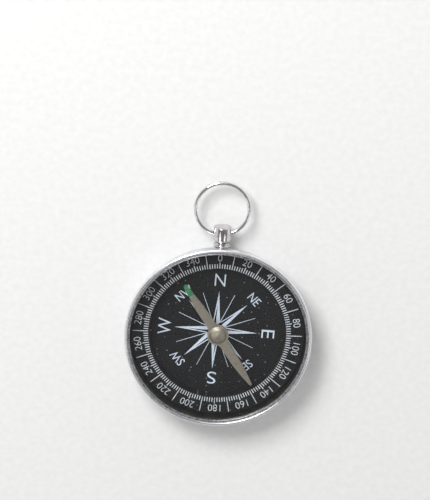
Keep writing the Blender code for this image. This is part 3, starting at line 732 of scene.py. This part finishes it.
def make_needle(steel, enamel):
    """One sheet thickness throughout, with die-rolled edges, and the paint as a coat on the tip."""
    crest = DOME_RADIUS - DOME_HEIGHT / DOME_SLOPE
    under = NEEDLE_SHEET * tan(atan(DOME_SLOPE) / 2)
    bm = needle_face(
        [
            (DOME_FOOT, 0),
            (DOME_RADIUS, 0, 0.08),
            (DOME_SHOULDER, DOME_SHOULDER_HEIGHT, 0.28),
            (NIPPLE_RADIUS, DOME_HEIGHT, 0.08),
            (NIPPLE_RADIUS - 0.08, DOME_HEIGHT + NIPPLE_HEIGHT, 0.05),
            (0, DOME_HEIGHT + NIPPLE_HEIGHT),
        ],
        NEEDLE_SHEET,
    )
    paint = bm.copy()
    lower = needle_face(
        [
            (DOME_FOOT, 0),
            (DOME_RADIUS - under, 0, 0.3),
            (crest - under, DOME_HEIGHT, 0.75),
            (0, DOME_HEIGHT),
        ],
        0,
    )
    add_shape(bm, lower)
    bmesh.ops.bridge_loops(bm, edges=[e for e in bm.edges if e.is_boundary])
    bmesh.ops.recalc_face_normals(bm, faces=bm.faces)
    place = Matrix.Translation((0, 0, NEEDLE_Z * MM)) @ Matrix.Rotation(NEEDLE_HEADING, 4, "Z")
    soften_rims(bm)
    bmesh.ops.transform(bm, verts=bm.verts, matrix=place)
    piece("needle_blade", bm, [steel], "needle", "needle")

    start = (NORTH_ARM[-1] - PAINT_LENGTH) * MM
    bmesh.ops.bisect_plane(
        paint, geom=paint.verts[:] + paint.edges[:] + paint.faces[:], dist=WELD,
        plane_co=(0, start, 0), plane_no=(0.12, 1, 0), clear_inner=True,
    )
    bmesh.ops.dissolve_limit(paint, angle_limit=radians(1), verts=paint.verts, edges=paint.edges)
    thick = NEEDLE_SHEET + 2 * PAINT_THICKNESS
    grown = bmesh.ops.extrude_face_region(paint, geom=paint.faces[:])["geom"]
    bmesh.ops.translate(
        paint, verts=[g for g in grown if isinstance(g, bmesh.types.BMVert)], vec=(0, 0, -thick * MM)
    )
    bmesh.ops.recalc_face_normals(paint, faces=paint.faces)
    walls = [f for f in paint.faces if abs(f.normal.z) < 0.5]
    for vert in {v for f in walls for v in f.verts}:
        out = sum((f.normal for f in vert.link_faces if abs(f.normal.z) < 0.5), Vector())
        vert.co += out.normalized() * PAINT_THICKNESS * MM
    soften_rims(paint)
    raised = Matrix.Translation((0, 0, PAINT_THICKNESS * MM))
    bmesh.ops.transform(paint, verts=paint.verts, matrix=place @ raised)
    piece("north_paint", paint, [enamel], "needle")


def turned_by(shift, angle, z):
    """Where a print lies: turned anticlockwise, shifted, and raised to its surface."""
    return Matrix.Translation((shift[0] * MM, shift[1] * MM, z * MM)) @ Matrix.Rotation(angle, 4, "Z")


def lettering(bm, text, height, centre_radius, bearing, width, weight):
    """Add a word or number, its top outwards, centred at a radius and a compass bearing in degrees."""
    curve = bpy.data.curves.new(text, "FONT")
    curve.body = text
    curve.size = 1.0
    curve.resolution_u = 5
    curve.offset = weight
    curve.align_x = "CENTER"
    obj = add_object(text, curve)
    mesh = bpy.data.meshes.new_from_object(obj.evaluated_get(bpy.context.evaluated_depsgraph_get()))
    bpy.data.objects.remove(obj)
    ys = [v.co.y for v in mesh.vertices]
    xs = [v.co.x for v in mesh.vertices]
    scale = height / (max(ys) - min(ys)) * MM
    middle = Matrix.Translation((-(max(xs) + min(xs)) / 2, -(max(ys) + min(ys)) / 2, 0))
    place = (
        Matrix.Rotation(-radians(bearing), 4, "Z")
        @ Matrix.Translation((0, centre_radius * MM, 0))
        @ Matrix.Diagonal((scale * width, scale, 1, 1))
        @ middle
    )
    mesh.transform(place)
    bm.from_mesh(mesh)
    bpy.data.meshes.remove(mesh)


def flat_shape(bm, points, bearing=0.0):
    """Add a flat shape through (x, y) points in mm, turned clockwise to a bearing."""
    verts = [bm.verts.new((x * MM, y * MM, 0)) for x, y in points]
    bm.faces.new(verts)
    bmesh.ops.rotate(bm, verts=verts, cent=(0, 0, 0), matrix=Matrix.Rotation(-radians(bearing), 3, "Z"))


def print_film(name, bm, place, material):
    """Give flat print its ink thickness and make it a piece on the case."""
    bmesh.ops.recalc_face_normals(bm, faces=bm.faces)
    for face in bm.faces:
        if face.normal.z > 0:
            face.normal_flip()
    raised = bmesh.ops.extrude_face_region(bm, geom=bm.faces[:], use_keep_orig=True)["geom"]
    bmesh.ops.translate(
        bm, verts=[g for g in raised if isinstance(g, bmesh.types.BMVert)], vec=(0, 0, INK * MM)
    )
    bmesh.ops.recalc_face_normals(bm, faces=bm.faces)
    bmesh.ops.transform(bm, verts=bm.verts, matrix=place)
    piece(name, bm, [material], "case")


def make_rose(ink):
    """Compass rose: eight points filled on the right and outlined on the left, thin rays and letters."""
    points = bmesh.new()
    tip = (0, ROSE_REACH)
    for bearing in range(0, 360, 45):
        flat_shape(points, [(0, 1.0), (0.85, 2.0), tip], bearing)
        flat_shape(points, [(-0.05, 6.2), (-0.12, 2.3), (0, 1.9), tip], bearing)
        flat_shape(points, [(-0.85, 2.0), (-0.6, 2.3), (-0.08, 6.5), tip], bearing)
        ray = [(-0.085, 2.2), (0.085, 2.2), (0.055, ROSE_REACH), (-0.055, ROSE_REACH)]
        flat_shape(points, ray, bearing + 22.5)
    place = turned_by(ROSE_SHIFT, ROSE_TURN, CARD_HIGH.z)
    print_film("rose_points", points, place, ink)

    letters = bmesh.new()
    large = (("N", 12.85, 0, 0.9), ("E", 12.6, 90, 1.2), ("S", 12.35, 180, 1.28), ("W", 12.35, 270, 0.89))
    for text, radius, bearing, width in large:
        lettering(letters, text, LARGE_HEIGHT, radius, bearing, width, LARGE_WEIGHT)
    small = (("NE", 12.1, 45), ("SE", 11.8, 135), ("SW", 11.75, 227), ("NW", 12.1, 316.5))
    for text, radius, bearing in small:
        lettering(letters, text, SMALL_HEIGHT, radius, bearing, SMALL_WIDTH, 0.0)
    print_film("rose_letters", letters, place, ink)


def make_scale(ink):
    """Degree scale: a tick every 2 degrees, a long line at odd tens and a number at even tens."""
    ticks = bmesh.new()
    for bearing in range(0, 360, 2):
        half, end = TICK_HALF_WIDTH, TICK_END
        if bearing % 20 == 0:
            end = NUMBER_TICK_END
        elif bearing % 10 == 0:
            half, end = LINE_HALF_WIDTH, LINE_END
        flat_shape(ticks, [(-half, TICK_START), (half, TICK_START), (half, end), (-half, end)], bearing)
    place = turned_by(RING_SHIFT, RING_TURN, RING_HIGH.z)
    print_film("degree_ticks", ticks, place, ink)

    numbers = bmesh.new()
    for bearing in range(0, 360, 20):
        lettering(numbers, str(bearing), NUMBER_HEIGHT, NUMBER_RADIUS, bearing, NUMBER_WIDTH, NUMBER_WEIGHT)
    print_film("degree_numbers", numbers, place, ink)


# ---------------------------------------------------------------- the compass

cup_satin = drawn_aluminium("drawn_aluminium_satin", "#dbdddf", "#d1d3d6", 0.3, 0.5)
# The inside's dark, brownish colours are painted shade on the cup's inner wall.
cup_inside_painted_shade = drawn_aluminium("drawn_aluminium_painted_shade", "#716c63", "#554f48", 0.3, 0.25)
rolled = rolled_aluminium()
nickel = bright_nickel("bright_nickel_plate", "#dfddde", "#b9b5b6", 0.1)
# The wire's nickel is painted lighter than the knob's, a painted highlight along the bow.
wire_nickel = bright_nickel("bright_nickel_on_wire_painted_light", "#efeef0", "#dddbdc", 0.2)
steel = stamped_steel()
enamel = green_enamel()
card_black = black_board("coated_black_board", ("#0c0c0e", "#101013"), "#8d8c88", 0.6)
ring_black = black_board("black_painted_channel", ("#0a0a0b", "#0e0e10"), "#77777a", 0.5)
rose_ink = screen_ink("white_screen_ink_cool", "#ccd3e0", "#adb5c3")
scale_ink = screen_ink("white_screen_ink", "#cdcfd4", "#9c9ea4")
brass = turned_metal("turned_brass", "#cfb271", "#b2904f", 0.28)
ground_steel = turned_metal("ground_steel", "#bdbdbf", "#98989b", 0.22)
rivet_metal = turned_metal("headed_aluminium", "#d6d7d9", "#b9bbbe", 0.3)
acrylic = cast_acrylic()

make_cup(cup_satin, cup_inside_painted_shade)
make_bezel(rolled)
make_scale_ring(ring_black)
make_stem_parts(nickel)
make_bow(wire_nickel)
make_needle(steel, enamel)
make_rose(rose_ink)
make_scale(scale_ink)

# CAD nodes that keep their shape and get their finish
for name, material in (
    ("lens", acrylic),
    ("dial_card", card_black),
    ("pivot_base", brass),
    ("pivot_pin", ground_steel),
    ("needle_bearing", brass),
    ("stem_rivet", rivet_metal),
):
    mesh = frame["nodes"][name].data
    mesh.materials.clear()
    mesh.materials.append(material)


# ---------------------------------------------------------------- floor, light and camera


def make_floor():
    """Pale matt board, flat under the back, that reaches 3 m each way."""
    material, tree, shader, place = new_material("pale_matt_board", Roughness=0.85)
    tooth = node(tree, "TexNoise", {"Vector": place, "Scale": 1 / (1.5 * MM), "Detail": 4.0})
    tint = node(
        tree, "ValToRGB", {0: tooth.outputs["Fac"]}, stops=[(0.3, rgb("#ededec")), (0.7, rgb("#f3f3f2"))]
    )
    feed(tree, shader, Base_Color=tint.outputs[0])
    bm = bmesh.new()
    low = Matrix.Translation((0, 0, FLOOR_Z * MM))
    bmesh.ops.create_grid(bm, x_segments=1, y_segments=1, size=3.0, matrix=low)
    mesh = bpy.data.meshes.new("floor")
    bm.to_mesh(mesh)
    bm.free()
    mesh.materials.append(material)
    add_object("floor", mesh)


def make_world():
    """A pale studio: white at the horizon, dimmer overhead."""
    world = bpy.data.worlds.new("studio")
    bpy.context.scene.world = world
    world.use_nodes = True
    tree = world.node_tree
    up = node(tree, "SeparateXYZ", {0: node(tree, "TexCoord").outputs["Generated"]}).outputs["Z"]
    sky = node(
        tree, "ValToRGB", {0: up},
        stops=[(0.0, grey(1.0)), (0.3, grey(1.0)), (0.45, grey(0.44)), (0.7, grey(0.27)), (1.0, grey(0.24))],
    )
    tree.links.new(sky.outputs[0], tree.nodes["Background"].inputs["Color"])


def lamp(name, bearing, elevation, distance, size, power):
    """A square soft box that faces the dial's centre.

    Its bearing from 12 o'clock and its elevation are in degrees, its distance and size in metres.
    """
    data = bpy.data.lights.new(name, "AREA")
    data.shape = "SQUARE"
    data.size = size
    data.energy = power
    obj = add_object(name, data)
    b, e = radians(bearing), radians(elevation)
    direction = Vector((sin(b) * cos(e), cos(b) * cos(e), sin(e)))
    obj.location = direction * distance
    obj.rotation_euler = direction.to_track_quat("Z", "Y").to_euler()


def make_camera():
    """Looks at the dial from the 12 o'clock side, with the case's axis on its pixel of the photograph."""
    back = Matrix.Rotation(CASE_TURN, 3, "Z") @ Vector((0, sin(LOOK_TILT), cos(LOOK_TILT)))
    right = Vector((cos(CASE_TURN), sin(CASE_TURN), 0))
    up = back.cross(right)
    scale = FRAME_HEIGHT / FRAME_PIXELS[1]
    aside = (FRAME_PIXELS[0] / 2 - AXIS_PIXEL[0]) * scale
    above = (AXIS_PIXEL[1] - FRAME_PIXELS[1] / 2) * scale
    target = Vector((0, 0, CARD_HIGH.z)) + right * aside + up * above
    data = bpy.data.cameras.new("camera")
    data.sensor_width = SENSOR
    data.lens = SENSOR * CAMERA_DISTANCE / FRAME_HEIGHT
    data.clip_start = 0.01
    data.clip_end = 20.0
    camera = add_object("camera", data)
    turn = Matrix((right, up, back)).transposed().to_4x4()
    camera.matrix_world = Matrix.Translation((target + back * CAMERA_DISTANCE) * MM) @ turn
    bpy.context.scene.camera = camera


make_floor()
make_world()
lamp("key", -28, 42, 0.7, 0.28, 3.9)
lamp("left", -127, 54, 1.7, 0.55, 1.5)
lamp("right", 127, 54, 1.7, 0.45, 0.9)
lamp("overhead", -8, 67, 1.7, 0.6, 0.9)
make_camera()
bpy.context.scene.view_settings.view_transform = "Standard"
